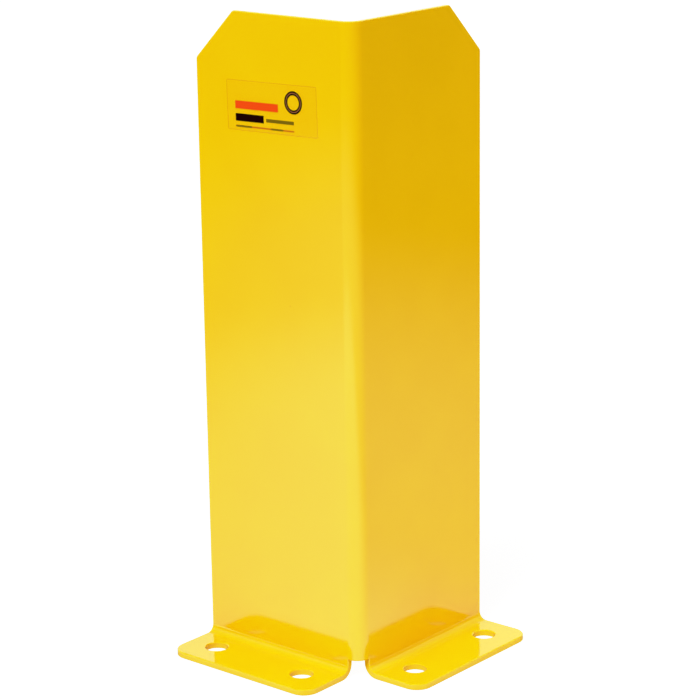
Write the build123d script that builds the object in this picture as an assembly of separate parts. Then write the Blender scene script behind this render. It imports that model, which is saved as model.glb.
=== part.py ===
from build123d import *

import math
import os

# A steel corner guard that stands in front of a pallet-rack upright and is bolted to the floor.
#
# It is one folded sheet: two equal leaves meet in a vertical fold, and a foot is bent outwards from the
# bottom of each. A clear film label is stuck on the front leaf.
#
# Millimetres, +Z up, floor at z = 0. The front leaf runs along X with its outer face towards -Y, the side
# leaf runs along Y with its outer face towards +X, and the guard is its own mirror image about the upright
# plane x + y = 0. The origin is the centre of the footprint.

# The sheet and its two leaves.
HEIGHT = 400.0  # floor to the leaves' top edges
LEAF_WIDTH = 121.0  # outside corner of the fold to a leaf's free end
SHEET = 4.0  # thickness of the sheet
BEND_INNER_RADIUS = 5.0  # inside the fold and inside the bend of each foot
TOP_CHAMFER = 30.0  # cut off a leaf's top outer corner, along the top and down the side
CHAMFER_END_RADIUS = 3.0  # rounding where the chamfer meets the top and the side
EDGE_RADIUS = 0.7  # softening of every cut edge, the holes' rims too

# The feet.
FOOT_DEPTH = 39.0  # leaf's outer face to the foot's front edge
FOOT_CORNER_RADIUS = 10.5  # front corners of each foot, seen from above
RELIEF_MARGIN = 0.2  # a foot begins this far past the line where the fold begins
RELIEF_ABOVE_BEND = 3.0  # top of the foot's bend to the fold's bottom edge

# The anchor holes, two in each foot.
HOLE_DIAMETER = 14.0  # clearance for an M12 floor anchor
HOLE_TO_CORNER = 30.5  # outside corner of the fold to the nearer hole's centre, along the leaf
HOLE_TO_FREE_END = 20.5  # farther hole's centre to the foot's free end
HOLE_TO_LEAF = 18.5  # leaf's outer face to the hole centres

# The label on the front leaf.
LABEL_WIDTH = 70.0
LABEL_HEIGHT = 30.0
LABEL_FILM = 0.15  # thickness of the film
LABEL_CORNER_RADIUS = 1.0
LABEL_TO_CORNER = 61.5  # outside corner of the fold to the label's centre, along the leaf
LABEL_BELOW_TOP = 55.0  # top edge of the leaf to the label's centre
LABEL_TILT = 1.3  # degrees, its end nearer the fold is the higher one

SMOOTH_ANGLE = 30.0  # degrees, faces that turn less than this where they meet have no edge to soften

# What follows from the sizes above.
BEND_OUTER_RADIUS = BEND_INNER_RADIUS + SHEET
CORNER = (LEAF_WIDTH - FOOT_DEPTH) / 2  # the fold's outside corner is at (CORNER, -CORNER)
FREE_END = CORNER - LEAF_WIDTH  # x of the front leaf's free end
FOLD_LINE = CORNER - BEND_OUTER_RADIUS  # x where the front leaf turns into the fold
FOOT_START = FOLD_LINE - RELIEF_MARGIN  # x of the front foot's end beside the fold
OUTER_FACE = -CORNER  # y of the front leaf's outer face
FOOT_FRONT = OUTER_FACE - FOOT_DEPTH  # y of the front foot's front edge
RELIEF_TOP = BEND_OUTER_RADIUS + RELIEF_ABOVE_BEND  # z of the fold's bottom edge


def front_leaf():
    """The front leaf with its bend and foot, drawn as one bent strip seen from its free end."""
    turn = math.sqrt(0.5)
    bend_y = OUTER_FACE - BEND_INNER_RADIUS
    bend_z = BEND_OUTER_RADIUS
    heel = (bend_y + BEND_OUTER_RADIUS * turn, bend_z - BEND_OUTER_RADIUS * turn)
    throat = (bend_y + BEND_INNER_RADIUS * turn, bend_z - BEND_INNER_RADIUS * turn)
    inner_face = OUTER_FACE + SHEET
    outline = [
        Line((FOOT_FRONT, 0), (bend_y, 0)),
        ThreePointArc((bend_y, 0), heel, (inner_face, bend_z)),
        Line((inner_face, bend_z), (inner_face, HEIGHT)),
        Line((inner_face, HEIGHT), (OUTER_FACE, HEIGHT)),
        Line((OUTER_FACE, HEIGHT), (OUTER_FACE, bend_z)),
        ThreePointArc((OUTER_FACE, bend_z), throat, (bend_y, SHEET)),
        Line((bend_y, SHEET), (FOOT_FRONT, SHEET)),
        Line((FOOT_FRONT, SHEET), (FOOT_FRONT, 0)),
    ]
    # The sketch plane's own X is the guard's Y, and its own Y is the guard's Z.
    seen_from_end = Plane(origin=(FREE_END, 0, 0), x_dir=(0, 1, 0), z_dir=(1, 0, 0))
    strip = extrude(seen_from_end * make_face(outline), FOLD_LINE - FREE_END)
    strip -= relief_cut() + chamfer_cut() + anchor_holes()
    strip = fillet(chamfer_ends(strip), CHAMFER_END_RADIUS)
    return fillet(foot_corners(strip), FOOT_CORNER_RADIUS)


def relief_cut():
    """What is cut away beside the fold so that the foot bends freely."""
    length = FOLD_LINE - FOOT_START
    depth = FOOT_DEPTH + SHEET
    from_low_corner = (Align.MIN, Align.MIN, Align.MIN)
    return Pos(FOOT_START, FOOT_FRONT, 0) * Box(length, depth, RELIEF_TOP, align=from_low_corner)


def chamfer_cut():
    """The triangle cut off the leaf's top outer corner, right through the sheet."""
    triangle = Polyline(
        (FREE_END, HEIGHT), (FREE_END + TOP_CHAMFER, HEIGHT), (FREE_END, HEIGHT - TOP_CHAMFER), close=True
    )
    seen_from_front = Plane(origin=(0, OUTER_FACE, 0), x_dir=(1, 0, 0), z_dir=(0, -1, 0))
    return extrude(seen_from_front * make_face(triangle), -SHEET)


def anchor_holes():
    """The front foot's two holes."""
    centre_y = OUTER_FACE - HOLE_TO_LEAF
    drill = Pos(0, centre_y, SHEET / 2) * Cylinder(HOLE_DIAMETER / 2, SHEET)
    return Pos(FREE_END + HOLE_TO_FREE_END, 0, 0) * drill + Pos(CORNER - HOLE_TO_CORNER, 0, 0) * drill


def near(value, target):
    return abs(value - target) < 0.01


def chamfer_ends(strip):
    """The two edges through the sheet where the chamfer meets the top and the free end."""
    across = strip.edges().filter_by(Axis.Y)
    top_end = [e for e in across if near(e.center().X, FREE_END + TOP_CHAMFER) and near(e.center().Z, HEIGHT)]
    side_end = [e for e in across if near(e.center().X, FREE_END) and near(e.center().Z, HEIGHT - TOP_CHAMFER)]
    return top_end + side_end


def foot_corners(strip):
    """The two upright edges at the foot's front corners."""
    upright = strip.edges().filter_by(Axis.Z)
    return [e for e in upright if near(e.center().Y, FOOT_FRONT)]


def fold():
    """The quarter ring of the vertical fold, from its bottom edge to the top."""
    quarter = make_face(
        [
            CenterArc((0, 0), BEND_OUTER_RADIUS, -90, 90),
            Line((BEND_OUTER_RADIUS, 0), (BEND_INNER_RADIUS, 0)),
            CenterArc((0, 0), BEND_INNER_RADIUS, -90, 90),
            Line((0, -BEND_INNER_RADIUS), (0, -BEND_OUTER_RADIUS)),
        ]
    )
    return Pos(FOLD_LINE, -FOLD_LINE, RELIEF_TOP) * extrude(quarter, HEIGHT - RELIEF_TOP)


def crosses_sheet(edge):
    """Whether an edge runs through the sheet, as only those in the relief's two upper corners do."""
    middle = edge.center()
    above_foot_end = near(middle.X, FOOT_START) or near(middle.Y, -FOOT_START)
    return above_foot_end and near(middle.Z, RELIEF_TOP)


def cut_edges(plate):
    """Every edge of the sheet's cut outline and of its holes, on both faces of the sheet."""
    faces_at = {}
    for face in plate.faces():
        for edge in face.edges():
            faces_at.setdefault(edge, []).append(face)
    sharp = []
    for edge, faces in faces_at.items():
        normals = [face.normal_at(edge @ 0.5) for face in faces]
        meets_at_angle = len(normals) == 2 and normals[0].get_angle(normals[1]) > SMOOTH_ANGLE
        if meets_at_angle and not crosses_sheet(edge):
            sharp.append(edge)
    return sharp


def guard_plate():
    """The folded sheet: the front leaf, its mirror image and the fold between them."""
    leaf = front_leaf()
    diagonal = Plane(origin=(0, 0, 0), z_dir=(1, 1, 0))
    plate = leaf + fold() + mirror(leaf, about=diagonal)
    return fillet(cut_edges(plate), EDGE_RADIUS)


def label_film():
    """The clear label, flat against the front leaf's outer face."""
    sheet = RectangleRounded(LABEL_WIDTH, LABEL_HEIGHT, LABEL_CORNER_RADIUS)
    on_leaf = Plane(
        origin=(CORNER - LABEL_TO_CORNER, OUTER_FACE, HEIGHT - LABEL_BELOW_TOP),
        x_dir=(1, 0, 0),
        z_dir=(0, -1, 0),
    )
    return extrude(on_leaf * Rot(0, 0, LABEL_TILT) * sheet, LABEL_FILM)


os.makedirs("parts", exist_ok=True)
export_step(guard_plate(), "parts/guard_plate.step")
export_step(label_film(), "parts/label_film.step")
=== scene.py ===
"""The looks of a bolt-down corner guard: one folded, powder-coated steel sheet with a clear label.

Metres, +Z up. The front leaf faces -Y, the side leaf faces +X, and the fold stands between them.
"""

import math

import bmesh
import bpy
import numpy as np
from mathutils import Matrix, Vector


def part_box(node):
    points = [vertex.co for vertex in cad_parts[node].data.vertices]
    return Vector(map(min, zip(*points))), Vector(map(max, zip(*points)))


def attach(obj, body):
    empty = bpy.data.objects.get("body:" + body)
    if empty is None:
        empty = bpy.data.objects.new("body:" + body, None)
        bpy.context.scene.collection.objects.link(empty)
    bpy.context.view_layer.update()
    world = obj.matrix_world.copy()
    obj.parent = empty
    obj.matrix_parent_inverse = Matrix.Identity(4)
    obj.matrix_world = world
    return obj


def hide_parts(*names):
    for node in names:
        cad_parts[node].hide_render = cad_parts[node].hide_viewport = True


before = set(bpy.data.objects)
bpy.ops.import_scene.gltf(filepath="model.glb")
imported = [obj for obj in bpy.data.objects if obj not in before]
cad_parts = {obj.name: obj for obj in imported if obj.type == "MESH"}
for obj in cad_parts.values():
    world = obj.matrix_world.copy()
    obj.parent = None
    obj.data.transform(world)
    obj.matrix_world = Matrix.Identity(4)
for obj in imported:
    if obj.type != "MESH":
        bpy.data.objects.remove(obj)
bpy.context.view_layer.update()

# ---- Guard plate ----------------------------------------------------------------------------------
# The guard itself: one sheet of 4 mm mild steel, laser cut and bent three times. It is powder coated
# after bending, so the gloss yellow skin runs round every cut edge and through the four bolt holes.

THIN_YELLOW = (0.855, 0.565, 0.0004, 1.0)
THICK_YELLOW = (0.885, 0.590, 0.0008, 1.0)
NIB_COLOUR = (0.62, 0.34, 0.004, 1.0)
BUILD_SCALE = 11.0  # waves to the metre, of the coat's thickness
PEEL_SCALE = 330.0  # waves to the metre, of the orange peel
NIB_SCALE = 16.0  # cells to the metre, each with one dust nib
NIB_REACH = (0.006, 0.016)  # a nib's flat middle and its outer edge, in cells
COAT_RELIEF = 0.0002  # metres


class Value:
    """One output of a shader node. Arithmetic on it adds the Math nodes that the sum needs."""

    def __init__(self, tree, socket):
        self.tree = tree
        self.socket = socket

    @classmethod
    def node(cls, tree, kind, settings, sockets, output=0):
        """Adds a node: its own settings first, then a number, a colour or a link for each socket."""
        made = tree.nodes.new(kind)
        for name, setting in settings.items():
            setattr(made, name, setting)
        for name, item in sockets.items():
            if isinstance(item, Value):
                tree.links.new(item.socket, made.inputs[name])
            else:
                made.inputs[name].default_value = item
        return cls(tree, made.outputs[output]) if made.outputs else None

    def math(self, operation, *others):
        """A Math node of that operation, with this as its first number."""
        sockets = dict(enumerate((self, *others)))
        return Value.node(self.tree, "ShaderNodeMath", {"operation": operation}, sockets)

    def __add__(self, other):
        return self.math("ADD", other)

    def __sub__(self, other):
        return self.math("SUBTRACT", other)

    def __rsub__(self, other):
        return (self * -1.0).math("ADD", other)

    def __mul__(self, other):
        return self.math("MULTIPLY", other)

    def __lt__(self, other):
        return self.math("LESS_THAN", other)

    def __abs__(self):
        return self.math("ABSOLUTE")

    __radd__ = __add__
    __rmul__ = __mul__

    def rise(self, low, high):
        """0 below low, 1 above high, and an S curve between them."""
        sockets = {"Value": self, "From Min": low, "From Max": high}
        settings = {"interpolation_type": "SMOOTHSTEP"}
        return Value.node(self.tree, "ShaderNodeMapRange", settings, sockets)

    def blend(self, first, second):
        """The first colour where this is 0, and the second where it is 1."""
        sockets = {0: self, 6: first, 7: second}
        return Value.node(self.tree, "ShaderNodeMix", {"data_type": "RGBA"}, sockets, output=2)

    def parts(self):
        """The x, y and z of a vector."""
        split = Value.node(self.tree, "ShaderNodeSeparateXYZ", {}, {0: self}).socket.node
        return [Value(self.tree, socket) for socket in split.outputs]


def new_tree(name):
    """An empty material of that name, and its node tree."""
    material = bpy.data.materials.new(name)
    material.use_nodes = True
    material.node_tree.nodes.clear()
    return material, material.node_tree


def coat_surface(tree, sockets):
    """Ends a material's tree with a Principled shader that has those sockets."""
    shader = Value.node(tree, "ShaderNodeBsdfPrincipled", {}, sockets)
    Value.node(tree, "ShaderNodeOutputMaterial", {}, {"Surface": shader})


def powder_coat():
    """Gloss powder coat: faint orange peel a few millimetres across, an uneven build, rare dust nibs."""
    material, tree = new_tree("yellow_powder_coat")
    place = Value.node(tree, "ShaderNodeTexCoord", {}, {}, output="Object")
    sockets = {"Vector": place, "Scale": BUILD_SCALE, "Detail": 3.0}
    build = Value.node(tree, "ShaderNodeTexNoise", {}, sockets)
    sockets = {"Vector": place, "Scale": PEEL_SCALE, "Detail": 2.0}
    peel = Value.node(tree, "ShaderNodeTexNoise", {}, sockets)
    nib_spot = Value.node(tree, "ShaderNodeTexVoronoi", {}, {"Vector": place, "Scale": NIB_SCALE})
    nib = 1.0 - nib_spot.rise(*NIB_REACH)
    yellow = build.rise(0.3, 0.7).blend(THIN_YELLOW, THICK_YELLOW)
    colour = (nib * 0.25).blend(yellow, NIB_COLOUR)
    height = peel + build * 3.0 + nib * 2.0
    sockets = {"Height": height, "Strength": 0.05, "Distance": COAT_RELIEF}
    bump = Value.node(tree, "ShaderNodeBump", {}, sockets)
    roughness = 0.055 + build * 0.03 + peel * 0.02
    coat_surface(tree, {"Base Color": colour, "Roughness": roughness, "IOR": 1.5, "Normal": bump})
    return material


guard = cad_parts["guard_plate"]
guard.data.materials[0] = powder_coat()

# ---- Label ----------------------------------------------------------------------------------------
# A clear self-adhesive vinyl label, 70 by 30 mm, stuck by hand and so a little out of level. Its
# printed marks are plain bars and a ring. The film hardly shows, apart from its cut edge.

LABEL_SIZE = (0.070, 0.030)
LABEL_CORNER = 0.001
LABEL_TILT = math.radians(1.3)
CORNER_STEPS = 8
EDGE_INSETS = (0.0, 0.00001, 0.00006, 0.002)  # each ring's distance in from the outline
EDGE_LIFTS = (0.0, 0.75, 1.0, 1.0)  # and its height off the leaf, in thicknesses of the film
MERGE_REACH = 1e-7

# What is printed: boxes as left, right, bottom and top, in millimetres from the label's middle.
ORANGE_BAR = (-28.5, 5.0, -2.0, 2.6)
DARK_BAR = (-28.5, -6.5, -9.4, -5.0)
THIN_BAR = (-4.5, 17.0, -8.6, -6.6)
FINE_LINE = (-28.5, 17.0, -12.9, -12.0)
FIRST_DASH = (-28.5, -16.0, -13.0, -11.9)
SECOND_DASH = (-1.0, 8.5, -13.0, -11.9)
RING_CENTRE = (17.0, 4.5)
RING_RADIUS = 5.6
RING_HALF_WIDTH = 1.15
RING_CORE_HALF_WIDTH = 0.22
CLEAR_HALF = (34.6, 14.6)  # the film inside its faint cut edge

DARK_INK = (0.016, 0.001, 0.001, 1.0)
ORANGE_INK = (0.86, 0.080, 0.006, 1.0)
CORE_INK = (0.42, 0.16, 0.06, 1.0)
FILM_COLOUR = (0.88, 0.60, 0.02, 1.0)
FILM_EDGE_COLOUR = (0.80, 0.47, 0.03, 1.0)


def label_sheet():
    """A thin rounded rectangle lying on the leaf, its cut edge rolling down to the paint.

    Ring k is the outline moved in by inset k and standing lift k off the leaf. The outline is four
    quarter circles of the corner radius, joined by straight sides, and an inset past that radius leaves
    a square corner, whose points are merged. One last point closes the middle.
    """
    low, high = (np.array(corner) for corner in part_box("label_film"))
    centre = (low + high) / 2
    half = np.array(LABEL_SIZE) / 2 - LABEL_CORNER
    quarter = np.linspace(0, 1, CORNER_STEPS + 1)
    turn = (np.arange(4)[:, None] + quarter) * math.tau / 4
    round_corner = np.stack((np.cos(turn), np.sin(turn)), axis=-1)
    side = np.array([(1, 1), (-1, 1), (-1, -1), (1, -1)])[:, None, :]
    radius = LABEL_CORNER - np.array(EDGE_INSETS)[:, None, None, None]
    rings = side * (half + np.minimum(radius, 0)) + round_corner * np.maximum(radius, 0)
    rings = rings.reshape(len(EDGE_INSETS), -1, 2)
    count = rings.shape[1]
    flat = np.vstack((rings.reshape(-1, 2), (0.0, 0.0)))
    lift = np.array(EDGE_LIFTS) * (high[1] - low[1])
    depth = np.append(np.repeat(lift, count), lift[-1])
    cos, sin = math.cos(LABEL_TILT), math.sin(LABEL_TILT)
    points = np.stack(
        (
            centre[0] + flat[:, 0] * cos - flat[:, 1] * sin,
            high[1] - depth,
            centre[2] + flat[:, 0] * sin + flat[:, 1] * cos,
        ),
        axis=1,
    )
    step = np.arange(count)
    after = (step + 1) % count
    band = np.stack((step, after, after + count, step + count), axis=1)
    inner = (len(EDGE_INSETS) - 1) * count
    quads = [band + first for first in range(0, inner, count)]
    fan = np.stack((step + inner, after + inner, np.full(count, inner + count)), axis=1)
    faces = np.vstack(quads).tolist() + fan.tolist()
    mesh = bpy.data.meshes.new("label")
    mesh.from_pydata(points.tolist(), [], faces)
    corner_vertex = np.empty(len(mesh.loops), dtype=np.int32)
    mesh.loops.foreach_get("vertex_index", corner_vertex)
    spread = flat / np.array(LABEL_SIZE) + 0.5
    mesh.uv_layers.new(name="label").data.foreach_set("uv", spread[corner_vertex].ravel())
    mesh.shade_smooth()
    merged = bmesh.new()
    merged.from_mesh(mesh)
    bmesh.ops.remove_doubles(merged, verts=merged.verts, dist=MERGE_REACH)
    merged.to_mesh(mesh)
    merged.free()
    return mesh


def box_mask(across, up, box):
    """1 inside a box that stands square to the label."""
    left, right, bottom, top = box
    wide = abs(across - (left + right) / 2) < (right - left) / 2
    tall = abs(up - (bottom + top) / 2) < (top - bottom) / 2
    return wide * tall


def printed_film():
    """Clear film with ink: an orange and a dark bar, a ring, and a fine broken line below."""
    material, tree = new_tree("clear_label")
    across, up, _ = Value.node(tree, "ShaderNodeUVMap", {"uv_map": "label"}, {}).parts()
    across = (across - 0.5) * (LABEL_SIZE[0] * 1000)
    up = (up - 0.5) * (LABEL_SIZE[1] * 1000)
    dashes = box_mask(across, up, FIRST_DASH) + box_mask(across, up, SECOND_DASH)
    beside = across - RING_CENTRE[0]
    above = up - RING_CENTRE[1]
    off_ring = abs((beside * beside + above * above).math("SQRT") - RING_RADIUS)
    dark = box_mask(across, up, DARK_BAR) + box_mask(across, up, THIN_BAR) * 0.75
    dark = dark + dashes * 0.7 + (off_ring < RING_HALF_WIDTH)
    orange = box_mask(across, up, ORANGE_BAR) + box_mask(across, up, FINE_LINE) * (1.0 - dashes) * 0.7
    ink = (off_ring < RING_CORE_HALF_WIDTH).blend(orange.blend(DARK_INK, ORANGE_INK), CORE_INK)
    edge = 1.0 - (abs(across) < CLEAR_HALF[0]) * (abs(up) < CLEAR_HALF[1])
    printed = (dark + orange).math("MINIMUM", 1.0)
    colour = printed.blend(edge.blend(FILM_COLOUR, FILM_EDGE_COLOUR), ink)
    alpha = (0.04 + edge * 0.16 + printed * 0.96).math("MINIMUM", 1.0)
    coat_surface(tree, {"Base Color": colour, "Alpha": alpha, "Roughness": 0.08, "IOR": 1.40})
    return material


label = bpy.data.objects.new("label", label_sheet())
bpy.context.collection.objects.link(label)
label.data.materials.append(printed_film())
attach(label, "root")
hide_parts("label_film")

# ---- Studio ---------------------------------------------------------------------------------------
# A pale, softly glowing table in an even white room, a very large soft light high up in front, and a
# small one low on the right. None of it is part of the guard.

CAMERA_PLACE = Vector((0.94513, -1.12233, 0.59723))
CAMERA_AZIMUTH = math.radians(40.03)
CAMERA_ELEVATION = math.radians(15.407)
CAMERA_ROLL = math.radians(-0.785)
CAMERA_LENS = 128.88  # millimetres, on a sensor of this width:
SENSOR_WIDTH = 36.0


def add_camera():
    """A long lens in front of the fold; its axes come from azimuth, elevation and roll."""
    flat = math.cos(CAMERA_ELEVATION)
    back = Vector(
        (
            math.sin(CAMERA_AZIMUTH) * flat,
            -math.cos(CAMERA_AZIMUTH) * flat,
            math.sin(CAMERA_ELEVATION),
        )
    )
    right = Vector((0, 0, 1)).cross(back).normalized()
    up = back.cross(right)
    cos, sin = math.cos(CAMERA_ROLL), math.sin(CAMERA_ROLL)
    axes = Matrix((right * cos + up * sin, up * cos - right * sin, back)).transposed()
    data = bpy.data.cameras.new("camera")
    data.sensor_width = SENSOR_WIDTH
    data.lens = CAMERA_LENS
    data.clip_start = 0.05
    data.clip_end = 100.0
    camera = bpy.data.objects.new("camera", data)
    bpy.context.collection.objects.link(camera)
    camera.matrix_world = Matrix.Translation(CAMERA_PLACE) @ axes.to_4x4()
    bpy.context.scene.camera = camera


add_camera()

WHITE = (1.0, 1.0, 1.0, 1.0)
TABLE_HALF = 12.0
TABLE_GREY = (0.12, 0.12, 0.12, 1.0)
FOOT_MIDDLE = (-0.024, -0.058)  # of the front foot, seen from above
FOOT_HALF = (0.056, 0.022)
SHADE_EDGE = (-0.002, 0.012)  # past the foot's edge, where its painted shadow starts to fade and where it ends
POOL_MIDDLE = (0.0, -0.47, 0.0)
NEAR_POOL = (0.34, 0.70)  # distances from the middle where a pool starts to fade and where it ends
WIDE_POOL = (0.78, 1.69)
LEFT_CUT = (-0.336, 0.074)  # the pools come up between these two lines, slanting across the left


def add_plane(name, height, material, unseen_by):
    """A square level sheet of the stage, hidden from the kinds of light ray in unseen_by."""
    half = TABLE_HALF
    mesh = bpy.data.meshes.new(name)
    corners = [(-half, -half, height), (half, -half, height), (half, half, height), (-half, half, height)]
    mesh.from_pydata(corners, [], [(0, 1, 2, 3)])
    mesh.materials.append(material)
    plane = bpy.data.objects.new(name, mesh)
    bpy.context.collection.objects.link(plane)
    for ray in unseen_by:
        setattr(plane, "visible_" + ray, False)


def table_top():
    """A pale matt table top that glows a little, so shadows on it stay faint."""
    material, tree = new_tree("table_top")
    sockets = {
        "Base Color": TABLE_GREY,
        "Specular IOR Level": 0.0,
        "Roughness": 1.0,
        "Emission Color": WHITE,
        "Emission Strength": 1.05,
    }
    coat_surface(tree, sockets)
    return material


def glow_surface(tree, strength):
    """Ends a material's tree with white light of that strength."""
    light = Value.node(tree, "ShaderNodeEmission", {}, {"Color": WHITE, "Strength": strength})
    Value.node(tree, "ShaderNodeOutputMaterial", {}, {"Surface": light})


def painted_foot_shadow(x, y):
    """Painted shadow in the table's glow: dim under the front foot, and rising to 1 a few millimetres out
    from its edges.
    """
    across = abs(x - FOOT_MIDDLE[0]) - FOOT_HALF[0]
    along = abs(y - FOOT_MIDDLE[1]) - FOOT_HALF[1]
    return 0.3 + 0.7 * across.math("MAXIMUM", along).rise(*SHADE_EDGE)


def table_glow():
    """What the gloss paint mirrors: two round pools of light on the table, cut off on the left, with a
    painted shadow under both feet.
    """
    material, tree = new_tree("table_glow")
    place = Value.node(tree, "ShaderNodeTexCoord", {}, {}, output="Object")
    sockets = {0: place, 1: POOL_MIDDLE}
    reach = Value.node(tree, "ShaderNodeVectorMath", {"operation": "DISTANCE"}, sockets, output=1)
    x, y, _ = place.parts()
    pools = 1.20 * (1.0 - reach.rise(*NEAR_POOL)) + 0.75 * (1.0 - reach.rise(*WIDE_POOL))
    cut = (0.817 * x - 0.577 * y).rise(*LEFT_CUT)
    # Painted shadow under both feet: the glow is dimmed under the front foot and, turned a quarter round,
    # under the side foot.
    shade = painted_foot_shadow(x, y) * painted_foot_shadow(y * -1.0, x * -1.0)
    glow_surface(tree, pools * cut * shade)
    return material


def table_bounce():
    """The even light that matt surfaces get back from the table."""
    material, tree = new_tree("table_bounce")
    glow_surface(tree, 0.90)
    return material


add_plane("table", 0.0, table_top(), ("glossy", "diffuse"))
add_plane("glow", -0.0002, table_glow(), ("camera", "diffuse", "shadow", "transmission"))
add_plane("bounce", -0.0004, table_bounce(), ("camera", "glossy", "shadow", "transmission"))


def add_room():
    """White all round. Gloss paint mirrors a band of it in front and the low part of the far side."""
    world = bpy.data.worlds.new("room")
    bpy.context.scene.world = world
    world.use_nodes = True
    tree = world.node_tree
    tree.nodes.clear()
    x, y, up = Value.node(tree, "ShaderNodeTexCoord", {}, {}, output="Generated").parts()
    far_side = (0.766 * y - 0.643 * x).rise(0.3, 0.8)
    band = up.rise(0.36, 0.46) * (1.0 - up.rise(0.45, 0.85))
    mirrored = 0.05 + 1.40 * far_side * (1.0 - up.rise(0.30, 0.60)) + 0.75 * band
    matt = 0.34 + 1.60 * y.rise(0.0, 0.6) * (1.0 - up.rise(0.2, 0.5))
    glossy = Value.node(tree, "ShaderNodeLightPath", {}, {}, output="Is Glossy Ray")
    strength = mirrored * glossy + matt * (1.0 - glossy)
    light = Value.node(tree, "ShaderNodeBackground", {}, {"Color": WHITE, "Strength": strength})
    Value.node(tree, "ShaderNodeOutputWorld", {}, {"Surface": light})


add_room()


def add_lamp(data, direction):
    """Hangs a lamp that shines that way and that no gloss surface mirrors."""
    lamp = bpy.data.objects.new(data.name, data)
    bpy.context.collection.objects.link(lamp)
    lamp.rotation_mode = "QUATERNION"
    lamp.rotation_quaternion = Vector(direction).to_track_quat("-Z", "Y")
    lamp.visible_glossy = False
    return lamp


key = bpy.data.lights.new("key", "SUN")
key.energy = 2.66
key.angle = math.radians(25)
add_lamp(key, (-0.09, 0.48, -0.69))

low_light = bpy.data.lights.new("low", "AREA")
low_light.energy = 0.115
low_light.size = 0.12
low_lamp = add_lamp(low_light, (-1.0, 0.0, -0.1))
low_lamp.location = (0.33, 0.05, 0.10)
low_lamp.visible_camera = False

# The display curve, from light to what is shown: steeper mid tones and a soft shoulder below white.
view = bpy.context.scene.view_settings
view.view_transform = "Standard"
view.use_curve_mapping = True
tone = view.curve_mapping
tone.clip_max_x = 1.3
tone.clip_max_y = 1.2
tone.curves[3].points[-1].location = (1.3, 1.10)
for seen, shown in (
    (0.075, 0.066),
    (0.30, 0.262),
    (0.48, 0.435),
    (0.62, 0.635),
    (0.74, 0.790),
    (0.90, 0.903),
    (1.00, 0.935),
    (1.15, 1.010),
):
    tone.curves[3].points.new(seen, shown)
tone.update()
